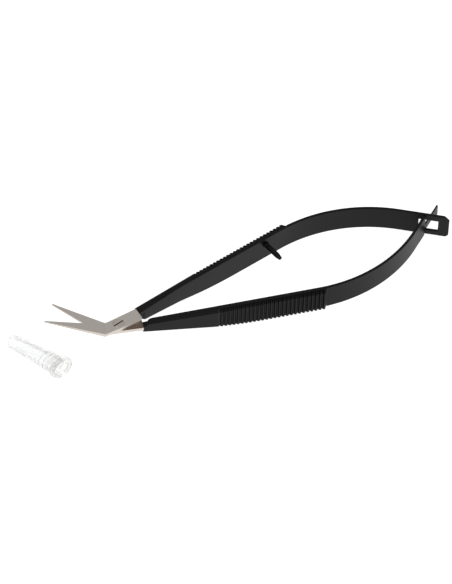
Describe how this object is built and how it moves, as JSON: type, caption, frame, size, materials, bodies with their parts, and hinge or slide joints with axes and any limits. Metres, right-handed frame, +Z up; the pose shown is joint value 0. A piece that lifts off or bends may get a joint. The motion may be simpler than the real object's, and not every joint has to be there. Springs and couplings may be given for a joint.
{
  "type": "thread snips",
  "caption": "Spring-action thread snips with bent blades, ribbed black grips, hooked spring strips and a clear tip cap lying beside them.",
  "frame": {"origin": "middle of the underside of the bounding box of the snips with the cap lying beside them", "axes": "+X along the centre line from the blades to the tail, +Y to the slotted arm, +Z up out of the surface the snips lie on, parallel to the pivot"},
  "size_m": [0.1338, 0.0296, 0.0078],
  "materials": {
    "blade_steel": "fine ground satin steel",
    "screw_steel": "turned satin steel",
    "black_coating": "satin black coating on steel",
    "clear_plastic": "clear moulded plastic"
  },
  "bodies": {
    "slot_arm": {"slot_blade": "blade_steel", "slot_grip": "black_coating", "slot_strip_root": "black_coating", "stop_pin": "black_coating"},
    "hook_arm": {"hook_blade": "blade_steel", "hook_grip": "black_coating", "hook_strip_root": "black_coating", "pivot_screw": "screw_steel"},
    "slot_strip_bow": {"slot_strip_bow": "black_coating"},
    "slot_strip_tail": {"slot_strip_tail": "black_coating"},
    "hook_strip_bow": {"hook_strip_bow": "black_coating"},
    "hook_strip_tail": {"hook_strip_tail": "black_coating"},
    "tip_cap": {"tip_cap": "clear_plastic"}
  },
  "joints": [
    {"name": "squeeze", "type": "hinge", "parent": "slot_arm", "child": "hook_arm", "pos_m": [-0.0373, -0.00039, 0.00673], "axis": [0, 0, 1], "range_deg": [0, 18], "stiffness_Nm_per_rad": 0.4, "springref_deg": -2.86},
    {"name": "slot_strip_flex_front", "type": "hinge", "parent": "slot_arm", "child": "slot_strip_bow", "pos_m": [0.0274, 0.01283, 0.00392], "axis": [0, 0, 1], "range_deg": [0, 22.86]},
    {"name": "slot_strip_flex_back", "type": "hinge", "parent": "slot_strip_bow", "child": "slot_strip_tail", "pos_m": [0.04511, 0.00937, 0.00392], "axis": [0, 0, 1], "range_deg": [0, 7.74]},
    {"name": "hook_strip_flex_front", "type": "hinge", "parent": "hook_arm", "child": "hook_strip_bow", "pos_m": [0.0274, -0.01361, 0.00392], "axis": [0, 0, -1], "range_deg": [0, 22.86]},
    {"name": "hook_strip_flex_back", "type": "hinge", "parent": "hook_strip_bow", "child": "hook_strip_tail", "pos_m": [0.04511, -0.01016, 0.00392], "axis": [0, 0, -1], "range_deg": [0, 7.74]},
    {"name": "cap_lift", "type": "slide", "parent": "slot_arm", "child": "tip_cap", "axis": [0, 0, 1], "range_m": [0, 0.015]}
  ],
  "couplings": [
    {"joint": "slot_strip_flex_front", "follows": "squeeze", "ratio": 1.27},
    {"joint": "slot_strip_flex_back", "follows": "squeeze", "ratio": 0.43},
    {"joint": "hook_strip_flex_front", "follows": "squeeze", "ratio": 1.27},
    {"joint": "hook_strip_flex_back", "follows": "squeeze", "ratio": 0.43}
  ]
}
